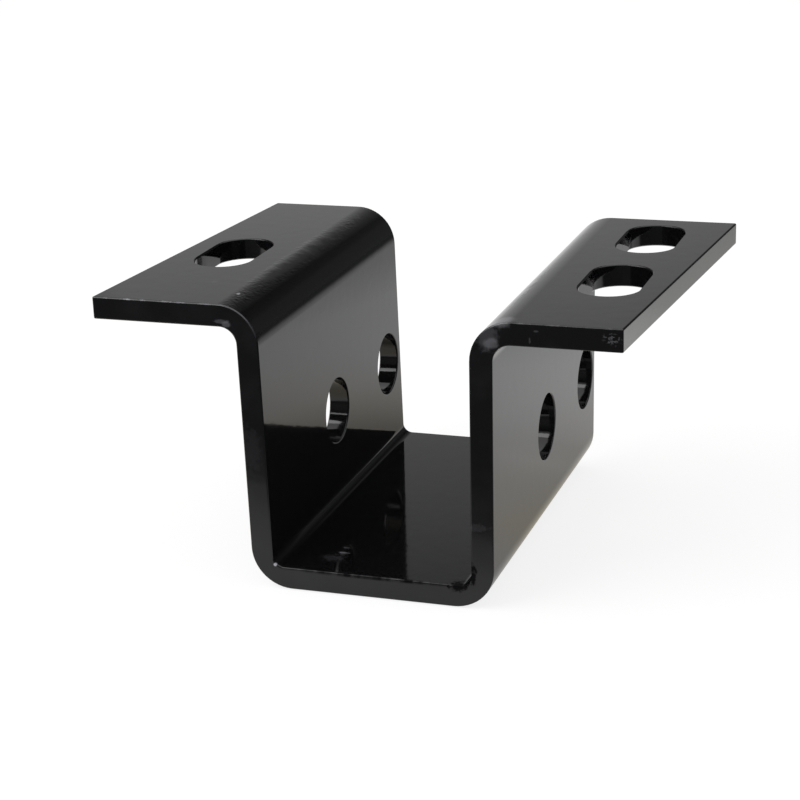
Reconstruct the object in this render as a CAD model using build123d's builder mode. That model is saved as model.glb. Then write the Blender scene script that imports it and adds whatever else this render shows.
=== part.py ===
from build123d import *
from build123d.topology import topo_explore_connected_faces

import os
from math import cos, radians, tan

# U bracket: one thick plate folded four times into a hat section.
#
# The channel stands on its base with the two flanges level at the top. X runs across the
# channel, Y along it from the front cut to the back cut, and Z up from the underside. The
# origin is on the underside, at mid-length, on the channel's centre plane. Millimetres.

# Plate
plate = 5.5  # with its coating
base_fold_inside = 2.5  # inner radius of the two folds at the base
flange_fold_inside = 4.2  # inner radius of the two folds at the flanges
fold_outside = 10.0  # outer radius of all four, where the plate has stretched and thinned
edge_round = 0.4  # rounding of the plate's cut edges
rim_chamfer = 0.4  # deburring round each hole and slot, on both faces

# Channel
channel_width = 49.5  # between the webs, where they meet the base
channel_length = 99.0
height = 70.3
web_splay = 0.75  # degrees that each web stands open from square

# Pin holes, straight through both webs
pin_hole_diameter = 16.5
pin_height = 28.8  # centres above the underside
pin_from_back = 10.5  # centre of the rearmost hole
pin_pitch = 40.0
pin_count = 2

# Flange slots, each running along the channel
slot_width = 14.5
slot_length = 28.0
slot_from_web = 19.0  # centre line to the web's outer face, on both flanges
left_slot_from_back = 53.5
right_slot_from_back = 20.0
right_slot_pitch = 40.0
right_slot_count = 2

# Flange edges, both at the same slant to the channel
left_edge_margin = 13.5  # beyond the slots' centre line, at mid-length
right_edge_margin = 14.5
edge_slant = 4.4  # degrees, towards +X at the back

front = -channel_length / 2
back = channel_length / 2


def web_face(z: float) -> float:
    """X of the right web's inner face at a height above the underside."""
    return channel_width / 2 + (z - plate) * tan(radians(web_splay))


def web_back(z: float) -> float:
    """X of the right web's outer face at a height above the underside."""
    return web_face(z) + plate / cos(radians(web_splay))


def edge_drift(y: float) -> float:
    """How far both flange edges have moved towards +X at a place along the channel."""
    return y * tan(radians(edge_slant))


def is_sharp(edge: Edge) -> bool:
    """Whether the two faces at an edge meet squarely, and not as a fold runs into a flat."""
    sides = [Face(side) for side in topo_explore_connected_faces(edge)]
    normals = [side.normal_at(edge @ 0.5) for side in sides]
    return normals[0].get_angle(normals[-1]) > 60


slot_line = web_back(height) + slot_from_web
left_reach = slot_line + left_edge_margin
right_reach = slot_line + right_edge_margin

with BuildPart() as bracket:
    # Folded strip, long enough for the flange edges to be cut from it
    stock_reach = max(left_reach, right_reach) + 2 * edge_drift(back)
    with BuildSketch(Plane.XZ.offset(-front)) as section:
        with BuildLine():
            upper = FilletPolyline(
                (-stock_reach, height),
                (-web_face(height), height),
                (-web_face(plate), plate),
                (web_face(plate), plate),
                (web_face(height), height),
                (stock_reach, height),
                radius=[fold_outside, base_fold_inside, base_fold_inside, fold_outside],
            )
            lower = FilletPolyline(
                (stock_reach, height - plate),
                (web_back(height - plate), height - plate),
                (web_back(0), 0),
                (-web_back(0), 0),
                (-web_back(height - plate), height - plate),
                (-stock_reach, height - plate),
                radius=[flange_fold_inside, fold_outside, fold_outside, flange_fold_inside],
            )
            Line(upper @ 1, lower @ 0)
            Line(lower @ 1, upper @ 0)
        make_face()
    extrude(amount=-channel_length)

    # Slanted trim of both flange edges
    with BuildSketch() as plan:
        with BuildLine():
            Polyline(
                (edge_drift(front) - left_reach, front),
                (edge_drift(front) + right_reach, front),
                (edge_drift(back) + right_reach, back),
                (edge_drift(back) - left_reach, back),
                close=True,
            )
        make_face()
    extrude(amount=height, mode=Mode.INTERSECT)
    fillet(bracket.edges().filter_by(is_sharp), radius=edge_round)

    # Pin holes
    with BuildSketch(Plane.YZ) as pin_holes:
        for step in range(pin_count):
            with Locations((back - pin_from_back - step * pin_pitch, pin_height)):
                Circle(pin_hole_diameter / 2)
    extrude(amount=web_back(height) + plate, both=True, mode=Mode.SUBTRACT)
    chamfer(bracket.edges(Select.LAST).filter_by(is_sharp), length=rim_chamfer)

    # Flange slots
    with BuildSketch(Plane.XY.offset(height)) as slots:
        with Locations((-slot_line, back - left_slot_from_back)):
            SlotOverall(slot_length, slot_width, rotation=90)
        for step in range(right_slot_count):
            with Locations((slot_line, back - right_slot_from_back - step * right_slot_pitch)):
                SlotOverall(slot_length, slot_width, rotation=90)
    extrude(amount=-2 * plate, mode=Mode.SUBTRACT)
    chamfer(bracket.edges(Select.LAST).filter_by(is_sharp), length=rim_chamfer)

bracket.part.label = "u_bracket"

os.makedirs("parts", exist_ok=True)
export_step(bracket.part, "parts/u_bracket.step")
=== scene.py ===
import bpy
from math import cos, pi, radians, sin
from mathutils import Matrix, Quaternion, Vector


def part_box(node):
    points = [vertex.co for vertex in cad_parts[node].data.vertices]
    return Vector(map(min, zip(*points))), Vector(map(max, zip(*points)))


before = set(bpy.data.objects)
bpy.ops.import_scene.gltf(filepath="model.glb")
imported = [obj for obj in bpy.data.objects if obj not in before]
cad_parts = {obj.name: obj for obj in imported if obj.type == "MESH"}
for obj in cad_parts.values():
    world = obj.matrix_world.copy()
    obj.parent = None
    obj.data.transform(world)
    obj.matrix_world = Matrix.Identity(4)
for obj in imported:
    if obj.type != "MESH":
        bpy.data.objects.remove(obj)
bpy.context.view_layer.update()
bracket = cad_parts["u_bracket"]
low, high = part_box("u_bracket")

MM = 0.001


# --- Node helpers -----------------------------------------------------------------------

def node(tree, kind, inputs=None, **settings):
    """A node with its settings, and its inputs given by name or number: sockets are linked."""
    made = tree.nodes.new(kind)
    for name, value in settings.items():
        setattr(made, name, value)
    for name, value in (inputs or {}).items():
        if isinstance(value, bpy.types.NodeSocket):
            tree.links.new(value, made.inputs[name])
        else:
            made.inputs[name].default_value = value
    return made


def math(tree, operation, *values):
    made = node(tree, "ShaderNodeMath", dict(enumerate(values)), operation=operation)
    return made.outputs[0]


def vector(tree, operation, *values):
    made = node(tree, "ShaderNodeVectorMath", dict(enumerate(values)), operation=operation)
    return made.outputs["Value" if operation in ("DOT_PRODUCT", "LENGTH") else "Vector"]


def noise(tree, place, scale, detail, stretch=None):
    """Even noise from 0 to 1, its place multiplied by the stretch where one is given."""
    if stretch:
        place = vector(tree, "MULTIPLY", place, stretch)
    made = node(tree, "ShaderNodeTexNoise", {"Vector": place, "Scale": scale, "Detail": detail})
    return made.outputs["Fac"]


def mix(tree, factor, first, second):
    made = node(tree, "ShaderNodeMix", {"Factor": factor, 2: first, 3: second}, data_type="FLOAT")
    return made.outputs[0]


def ramp(tree, value, stops):
    """A number that follows the stops, each a place and the number there, in straight steps."""
    first, last = stops[0][0], stops[-1][0]
    span = {"Value": value, "From Min": first, "From Max": last}
    along = node(tree, "ShaderNodeMapRange", span).outputs[0]
    made = node(tree, "ShaderNodeValToRGB", {"Fac": along})
    elements = made.color_ramp.elements
    for place, number in stops[1:-1]:
        elements.new((place - first) / (last - first))
    for element, (place, number) in zip(elements, stops):
        element.color = (number, number, number, 1)
    return made.outputs["Color"]


def new_material(name):
    material = bpy.data.materials.new(name)
    material.use_nodes = True
    material.node_tree.nodes.clear()
    return material, material.node_tree


# --- True curves ------------------------------------------------------------------------

def true_curves(obj):
    """Shade the flats as true flats and the folds and rounded edges as true curves.

    The mesh keeps its shape. Each vertex takes the facing of the flat or facets that meet
    there, each by its whole area, so that a flat wins over a fold, and a fold over an edge."""
    tree = bpy.data.node_groups.new("true_curves", "GeometryNodeTree")
    tree.interface.new_socket("Geometry", in_out="INPUT", socket_type="NodeSocketGeometry")
    tree.interface.new_socket("Geometry", in_out="OUTPUT", socket_type="NodeSocketGeometry")
    given = node(tree, "NodeGroupInput").outputs[0]
    merge = {"Geometry": given, "Distance": 1e-6}
    whole = node(tree, "GeometryNodeMergeByDistance", merge).outputs[0]

    def on(domain, value, kind):
        """The value as each point, face or corner has it."""
        made = node(tree, "GeometryNodeFieldOnDomain", {0: value}, domain=domain, data_type=kind)
        return made.outputs[0]

    def sum_by(domain, value, group, kind):
        """The sum of the value over all that share the group."""
        made = node(tree, "GeometryNodeAccumulateField", {0: value, 1: group},
                    domain=domain, data_type=kind)
        return made.outputs["Total"]

    # Faces that lie in one plane make one flat, whose area all of them carry
    turn = node(tree, "GeometryNodeInputMeshEdgeAngle").outputs["Unsigned Angle"]
    border = math(tree, "GREATER_THAN", turn, radians(0.5))
    flat = node(tree, "GeometryNodeEdgesToFaceGroups", {0: border}).outputs[0]
    face_area = node(tree, "GeometryNodeInputMeshFaceArea").outputs[0]
    area = on("FACE", sum_by("FACE", face_area, flat, "FLOAT"), "FLOAT")
    facing = node(tree, "GeometryNodeInputNormal").outputs["True Normal"]
    facing = on("FACE", facing, "FLOAT_VECTOR")

    corner = node(tree, "GeometryNodeInputIndex").outputs[0]
    position = node(tree, "GeometryNodeInputPosition").outputs[0]

    def vertex_at(step):
        offset = {"Corner Index": corner, "Offset": step}
        there = node(tree, "GeometryNodeOffsetCornerInFace", offset).outputs[0]
        return node(tree, "GeometryNodeVertexOfCorner", {"Corner Index": there}).outputs[0]

    def place_at(step):
        made = node(tree, "GeometryNodeFieldAtIndex", {"Value": position, "Index": vertex_at(step)},
                    domain="POINT", data_type="FLOAT_VECTOR")
        return made.outputs[0]

    def side(step):
        return vector(tree, "NORMALIZE", vector(tree, "SUBTRACT", place_at(step), place_at(0)))

    # Each corner counts by its angle and by its flat's area in mm2, cubed so that flats win
    angle = math(tree, "ARCCOSINE", vector(tree, "DOT_PRODUCT", side(1), side(-1)))
    size = math(tree, "POWER", math(tree, "MULTIPLY", area, 1e6), 3.0)
    weight = math(tree, "MULTIPLY", size, angle)
    share = node(tree, "ShaderNodeVectorMath", {0: facing, "Scale": weight}, operation="SCALE")
    total = sum_by("CORNER", share.outputs[0], vertex_at(0), "FLOAT_VECTOR")
    total = on("CORNER", total, "FLOAT_VECTOR")
    normal = {"Mesh": whole, "Custom Normal": vector(tree, "NORMALIZE", total)}
    shaded = node(tree, "GeometryNodeSetMeshNormal", normal, mode="FREE", domain="POINT")
    node(tree, "NodeGroupOutput", {0: shaded.outputs[0]})
    obj.modifiers.new("true_curves", "NODES").node_group = tree


true_curves(bracket)


# --- Powder coat ------------------------------------------------------------------------

# Each mark starts from a corner of the front cut, by a step to the right, back and up. Its
# reach is how far it goes to the sides, back and up from its middle. All are in mm.
top_left = Vector((low.x, low.y, high.z))
top_right = Vector((high.x, low.y, high.z))
base_left = Vector((low.x, low.y, low.z))
base_right = Vector((high.x, low.y, low.z))

# Pale marks, some real flecks and some painted highlights: corner, step, reach, how ragged and how
# pale
dust_and_painted_glints = [
    # Painted highlights on the front cut, by the left fold and over the right one
    (top_left, (33.07, 0.0, -4.1), (2.2, 1.0, 0.6), 0.4, 0.040),
    (top_left, (34.27, 0.0, -4.7), (1.3, 1.0, 0.9), 0.4, 0.060),
    (top_right, (-37.57, 0.0, -5.1), (2.0, 1.0, 1.4), 0.3, 0.050),
    (top_right, (-38.57, 0.0, -3.5), (3.0, 1.0, 4.0), 0.5, 0.032),
    (top_right, (-35.87, 2.0, -0.4), (3.6, 3.6, 1.4), 0.2, 0.100),
    # Flecks on the right flange's front cut
    (top_right, (-27.27, 0.0, -1.7), (0.7, 0.6, 0.3), 0.3, 0.030),
    (top_right, (-28.67, 0.0, -3.9), (0.3, 0.6, 0.8), 0.3, 0.025),
    # Painted glint in the channel's left corner
    (base_left, (43.07, 0.0, 6.0), (0.5, 0.7, 0.5), 0.3, 0.400),
    # Painted reflections of the lit hole edges on the channel's floor
    (base_left, (55.87, 15.0, 5.5), (1.2, 0.6, 0.8), 0.4, 0.050),
    (base_left, (56.17, 12.0, 5.5), (1.7, 0.6, 0.8), 0.6, 0.110),
    (base_left, (54.87, 8.5, 5.5), (3.0, 2.2, 0.8), 1.2, 0.020),
    # Flecks on the left flange
    (top_left, (33.47, 9.9, 0.0), (0.5, 0.8, 0.8), 0.2, 0.250),
    (top_left, (23.67, 18.4, 0.0), (1.0, 1.0, 0.8), 0.4, 0.020),
    # Cloudy bands on the webs' front cuts
    (base_right, (-42.17, 0.0, 20.5), (4.0, 1.0, 1.2), 0.8, 0.012),
    (base_left, (38.37, 0.0, 35.0), (3.5, 1.0, 6.0), 1.0, 0.006),
]
# Where streaks are scraped into the right flange's front tip: corner, step and reach
scrape = (top_right, (-10.07, 0.0, -2.4), (2.2, 1.0, 1.6))
# Dull dark runs of coat in the channel's right corner: corner, step, reach and how ragged
dull_runs = [
    (base_right, (-47.07, 0.6, 5.1), (2.6, 2.8, 1.3), 0.9),
    (base_right, (-43.17, 0.4, 9.0), (1.0, 1.6, 3.4), 0.9),
    (base_right, (-45.17, 0.4, 6.3), (2.0, 1.8, 1.4), 1.3),
]
dull_edge = (base_left, (67.37, 0.0, 5.3), (25.0, 1.0, 0.8))
# Where the painted highlight lies along the left fold's front edge
fold_highlight = (top_left, (37.37, 0.0, -2.3), (8.0, 1.2, 7.0))
lumpy_folds = [
    (top_left, (34.87, 44.5, -0.3), (3.4, 48.0, 3.0)),
    (top_right, (-38.37, 34.5, -1.3), (2.5, 20.0, 3.0)),
]
edge_round = 0.3 * MM
end_reach = 12.0 * MM
# How far a face has to point along an axis to count as square to it
square_on = 0.98

coat, tree = new_material("black_powder_coat")
place = node(tree, "ShaderNodeTexCoord").outputs["Object"]
facing = node(tree, "ShaderNodeNewGeometry").outputs["Normal"]
grain = math(tree, "SUBTRACT", noise(tree, place, 1100.0, 2.0), 0.5)


def patch(corner, step, reach, ragged=0.0):
    """1 in the middle of a mark, and 0 past its reach."""
    centre = corner + Vector(step) * MM
    gap = vector(tree, "SUBTRACT", place, centre)
    out = vector(tree, "LENGTH", vector(tree, "DIVIDE", gap, Vector(reach) * MM))
    out = math(tree, "MULTIPLY_ADD", grain, ragged * 2, out)
    fade = {"Value": out, "From Min": 0.45, "From Max": 1.1, "To Min": 1.0, "To Max": 0.0}
    return node(tree, "ShaderNodeMapRange", fade, interpolation_type="SMOOTHSTEP").outputs[0]


def both(first, second):
    return math(tree, "MULTIPLY", first, second)


def paler(amount, strength):
    """The coat's paleness with so much more, where the amount is 1."""
    return math(tree, "MULTIPLY_ADD", amount, strength, pale)


pale = 0.0
for corner, step, reach, ragged, strength in dust_and_painted_glints:
    pale = paler(patch(corner, step, reach, ragged), strength)
streaks = noise(tree, place, 1300.0, 1.0, (1.0, 1.0, 1.7))
streaks = ramp(tree, streaks, [(0.0, 0.0), (0.52, 0.0), (0.60, 1.0), (1.0, 1.0)])
pale = paler(both(patch(*scrape, 0.4), streaks), 0.055)

# The front cut takes the coat less evenly
cut = math(tree, "LESS_THAN", vector(tree, "DOT_PRODUCT", facing, (0.0, 1.0, 0.0)), -square_on)
cloud = noise(tree, place, 130.0, 2.0)
cloud = ramp(tree, cloud, [(0.0, 0.0), (0.45, 0.0), (0.75, 1.0), (1.0, 1.0)])
pale = paler(both(cut, cloud), 0.003)

# The right flange's sheared end face is painted paler and a little brown
end = vector(tree, "DOT_PRODUCT", facing, (1.0, 0.0, 0.0))
end = math(tree, "GREATER_THAN", end, square_on)
axes = node(tree, "ShaderNodeSeparateXYZ", {0: place}).outputs
end = both(end, math(tree, "GREATER_THAN", axes["X"], high.x - end_reach))

# Painted highlights: short glinting dashes along the flanges' front top edges, fewer to the right
edge = both(math(tree, "LESS_THAN", axes["Y"], low.y + edge_round),
            math(tree, "GREATER_THAN", axes["Z"], high.z - edge_round))
glint_dashes = noise(tree, place, 300.0, 2.0, (1.0, 0.0, 0.0))
glint_dashes = ramp(tree, glint_dashes, [(0.0, 0.0), (0.48, 0.0), (0.70, 1.0), (1.0, 1.0)])
fewer = ((7.37, 1.0), (22.37, 0.8), (37.37, 0.3), (137.37, 0.3))
fewer = ramp(tree, axes["X"], [(low.x + step * MM, number) for step, number in fewer])
pale = paler(both(edge, both(glint_dashes, fewer)), 0.20)

# Painted highlight along the front edge of the left flange's fold, where its rounding catches the
# light
turned = vector(tree, "DOT_PRODUCT", facing, (0.0, -1.0, 0.0))
highlight_facing = both(math(tree, "GREATER_THAN", turned, 0.10), math(tree, "LESS_THAN", turned, 0.92))
pale = paler(both(highlight_facing, patch(*fold_highlight, 0.2)), 0.045)

red = math(tree, "MULTIPLY_ADD", end, 0.165, math(tree, "ADD", pale, 0.0035))
blue = math(tree, "MULTIPLY_ADD", end, 0.155, math(tree, "MULTIPLY_ADD", pale, 1.10, 0.004))
colour = {"Red": red, "Green": red, "Blue": blue}
colour = node(tree, "ShaderNodeCombineColor", colour).outputs[0]

dull = 0.0
for run in dull_runs:
    dull = math(tree, "MAXIMUM", dull, patch(*run))
breaks = noise(tree, place, 260.0, 2.0, (1.0, 0.0, 0.0))
breaks = ramp(tree, breaks, [(0.0, 1.0), (0.42, 1.0), (0.62, 0.25), (1.0, 0.25)])
dull = math(tree, "MAXIMUM", dull, both(patch(*dull_edge), breaks))
gloss = math(tree, "MULTIPLY_ADD", dull, -0.48, 0.5)

# The coat's fine peel, and its lumps on the folds
peel = {"Height": noise(tree, place, 260.0, 2.0), "Strength": 0.04, "Distance": 0.4 * MM}
peel = node(tree, "ShaderNodeBump", peel).outputs[0]
where = math(tree, "MAXIMUM", *(patch(*fold, 0.4) for fold in lumpy_folds))
lumps = {"Height": both(noise(tree, place, 210.0, 1.5), where),
         "Strength": 0.50, "Distance": 0.2 * MM, "Normal": peel}
lumps = node(tree, "ShaderNodeBump", lumps).outputs[0]
shader = node(tree, "ShaderNodeBsdfPrincipled", {
    "Base Color": colour, "Roughness": 0.06, "IOR": 1.5,
    "Specular IOR Level": gloss, "Normal": lumps})
node(tree, "ShaderNodeOutputMaterial", {"Surface": shader.outputs["BSDF"]})
for slot in bracket.material_slots:
    slot.material = coat


# --- Studio -----------------------------------------------------------------------------

eye = Vector((0.15393, -0.46436, 0.19893))
aim = Vector((0.0, -0.0240, 0.0411))
roll = radians(2.07)
middle = Vector((0, 0, 0.03))
white = (1, 1, 1, 1)


def seen_directly(tree):
    """1 for camera, glossy and transmission rays, which show the studio, and 0 for light."""
    path = node(tree, "ShaderNodeLightPath").outputs
    gloss_or_camera = math(tree, "MAXIMUM", path["Is Camera Ray"], path["Is Glossy Ray"])
    return math(tree, "MAXIMUM", gloss_or_camera, path["Is Transmission Ray"])


def stage_square(name, z, half=3.0):
    """A flat square of the stage, and its material's tree."""
    mesh = bpy.data.meshes.new(name)
    corners = [(-half, -half, z), (half, -half, z), (half, half, z), (-half, half, z)]
    mesh.from_pydata(corners, [], [(0, 1, 2, 3)])
    piece = bpy.data.objects.new(name, mesh)
    bpy.context.scene.collection.objects.link(piece)
    material, tree = new_material(name)
    mesh.materials.append(material)
    return piece, tree


def only_in_gloss(piece):
    piece.visible_camera = False
    piece.visible_diffuse = False
    piece.visible_shadow = False
    piece.visible_transmission = False


# The floor, white to the camera with the object's shadow, and clear from below
_, tree = stage_square("floor", low.z - 0.2 * MM)
camera_ray = node(tree, "ShaderNodeLightPath").outputs["Is Camera Ray"]
matt_level = math(tree, "MULTIPLY_ADD", camera_ray, -0.38, 0.60)
matt = node(tree, "ShaderNodeBsdfDiffuse", {"Color": matt_level})
level = math(tree, "MULTIPLY_ADD", camera_ray, 0.42, 0.40)
level = math(tree, "MULTIPLY", level, seen_directly(tree))
glow = node(tree, "ShaderNodeEmission", {"Color": white, "Strength": level})
lit = node(tree, "ShaderNodeAddShader", {0: matt.outputs[0], 1: glow.outputs[0]})
clear = node(tree, "ShaderNodeBsdfTransparent", {"Color": white})
below = node(tree, "ShaderNodeNewGeometry").outputs["Backfacing"]
surface = {0: below, 1: lit.outputs[0], 2: clear.outputs[0]}
surface = node(tree, "ShaderNodeMixShader", surface).outputs[0]
node(tree, "ShaderNodeOutputMaterial", {"Surface": surface})

# World
world = bpy.data.worlds.new("studio")
world.use_nodes = True
world.node_tree.nodes.clear()
tree = world.node_tree
levels = {"Value": seen_directly(tree), "To Min": 0.75, "To Max": 1.0}
strength = node(tree, "ShaderNodeMapRange", levels).outputs[0]
sky = node(tree, "ShaderNodeBackground", {"Color": white, "Strength": strength})
node(tree, "ShaderNodeOutputWorld", {"Surface": sky.outputs[0]})
bpy.context.scene.world = world

# Painted shade on the table, seen only in the gloss: a see-through sheet that darkens the table's
# reflection past its lit part, with the bracket's painted shadow behind it and a warm painted
# shade by its foot. Its sides run along and across the line from the eye to the aim: deep is
# away from the eye and wide to its right, both from the origin.
away = Vector((aim.x - eye.x, aim.y - eye.y, 0)).normalized()
right = Vector((away.y, -away.x, 0))
gel, tree = stage_square("table_shade", low.z - 0.1 * MM)
only_in_gloss(gel)
spot = node(tree, "ShaderNodeTexCoord").outputs["Object"]
deep = vector(tree, "DOT_PRODUCT", spot, away)
wide = vector(tree, "DOT_PRODUCT", spot, right)
in_front = ramp(tree, deep, [
    (-0.125, 0.09), (-0.104, 0.13), (-0.095, 0.19), (-0.088, 0.44), (-0.080, 0.52),
    (-0.071, 0.68), (-0.055, 0.82), (-0.030, 0.86), (0.05, 0.86), (0.11, 0.82)])
to_the_side = ramp(tree, wide, [
    (0.100, 1.0), (0.135, 0.74), (0.195, 0.62), (0.225, 0.50), (0.285, 0.34),
    (0.345, 0.20), (0.45, 0.11)])
past_the_back = ramp(tree, deep, [(0.09, 0.0), (0.14, 1.0)])
to_the_side = mix(tree, past_the_back, 1.0, to_the_side)
# The bracket's painted shadow on the table behind it
painted_shadow_behind = ramp(tree, wide, [(0.0, 0.30), (0.02, 0.52), (0.045, 0.80), (0.075, 0.95), (0.09, 1.0)])
by_the_back = ramp(tree, deep, [(0.03, 0.0), (0.045, 1.0), (0.07, 0.85), (0.10, 0.45), (0.14, 0.0)])
painted_shadow_behind = mix(tree, by_the_back, 1.0, painted_shadow_behind)
shade = math(tree, "MULTIPLY", math(tree, "MULTIPLY", in_front, to_the_side), painted_shadow_behind)
# A warm painted shade on the table by the bracket's foot
warm_painted_shade = ramp(tree, wide, [(-0.02, 1.0), (0.03, 0.9), (0.05, 0.45), (0.08, 0.08), (0.12, 0.0)])
under = ramp(tree, deep, [(-0.045, 0.0), (-0.010, 1.0), (0.08, 0.6), (0.12, 0.0)])
warm_painted_shade = math(tree, "MULTIPLY", warm_painted_shade, under)
tint = {}
for channel, more in (("Red", 0.09), ("Green", 0.0), ("Blue", -0.19)):
    tint[channel] = math(tree, "MULTIPLY", shade, math(tree, "MULTIPLY_ADD", warm_painted_shade, more, 1.0))
shade = node(tree, "ShaderNodeCombineColor", tint).outputs[0]
clear = node(tree, "ShaderNodeBsdfTransparent", {"Color": shade})
node(tree, "ShaderNodeOutputMaterial", {"Surface": clear.outputs[0]})


def by_degrees(tree, angle, stops):
    return ramp(tree, angle, [(radians(degrees), number) for degrees, number in stops])


# The dark room round the table, a glowing dome seen only in the gloss, whose painted reflections
# are its grey back wall to the left and its pale ceiling.
# Elevation and azimuth are in degrees, and azimuth is from +Y towards +X.
bpy.ops.mesh.primitive_uv_sphere_add(segments=48, ring_count=24, radius=2.5)
room = bpy.context.object
room.name = "dark_room"
material, tree = new_material("dark_room")
room.data.materials.append(material)
only_in_gloss(room)
spot = vector(tree, "NORMALIZE", node(tree, "ShaderNodeTexCoord").outputs["Object"])
axes = node(tree, "ShaderNodeSeparateXYZ", {0: spot}).outputs
azimuth = math(tree, "ARCTAN2", axes["X"], axes["Y"])
elevation = math(tree, "ARCSINE", axes["Z"])
ceiling = ((36, 0.02), (46, 1.2), (90, 1.3))
dark = by_degrees(tree, elevation, (
    (0, 0.095), (16, 0.085), (20, 0.055), (26, 0.035), (32, 0.012), *ceiling))
wall = by_degrees(tree, elevation, (
    (0, 0.68), (3, 0.58), (8, 0.51), (15, 0.455), (18, 0.40), (22, 0.30),
    (26, 0.18), (29, 0.21), (32, 0.03), *ceiling))
on_wall = by_degrees(tree, azimuth, (
    (-34, 0.1), (-29, 1.0), (-25, 1.06), (-22, 1.06), (-18, 1.0), (-12, 0.95),
    (-4, 0.65), (4, 0.33), (10, 0.0)))
glow = {"Color": white, "Strength": mix(tree, on_wall, dark, wall)}
glow = node(tree, "ShaderNodeEmission", glow)
node(tree, "ShaderNodeOutputMaterial", {"Surface": glow.outputs[0]})


def softbox(name, azimuth, elevation, distance, size, brightness):
    """A square panel light that faces the middle. Azimuth is from +Y towards +X."""
    light = bpy.data.lights.new(name, "AREA")
    light.shape = "SQUARE"
    light.size = size
    light.energy = brightness * pi * size * size
    lamp = bpy.data.objects.new(name, light)
    bpy.context.scene.collection.objects.link(lamp)
    a, e = radians(azimuth), radians(elevation)
    out = Vector((sin(a) * cos(e), cos(a) * cos(e), sin(e)))
    lamp.location = middle + out * distance
    lamp.rotation_mode = "QUATERNION"
    lamp.rotation_quaternion = (-out).to_track_quat("-Z", "Y")
    lamp.visible_camera = False


softbox("key_softbox", azimuth=-132, elevation=42, distance=1.1, size=0.85, brightness=2.6)


# --- Camera -----------------------------------------------------------------------------

camera_data = bpy.data.cameras.new("camera")
camera_data.lens = 91.6
camera_data.sensor_width = 36.0
camera_data.clip_start = 0.01
camera_data.clip_end = 20.0
camera = bpy.data.objects.new("camera", camera_data)
bpy.context.scene.collection.objects.link(camera)
camera.location = eye
camera.rotation_mode = "QUATERNION"
line_of_sight = (aim - eye).to_track_quat("-Z", "Y")
camera.rotation_quaternion = line_of_sight @ Quaternion((0, 0, 1), -roll)
bpy.context.scene.camera = camera
bpy.context.scene.view_settings.view_transform = "Standard"
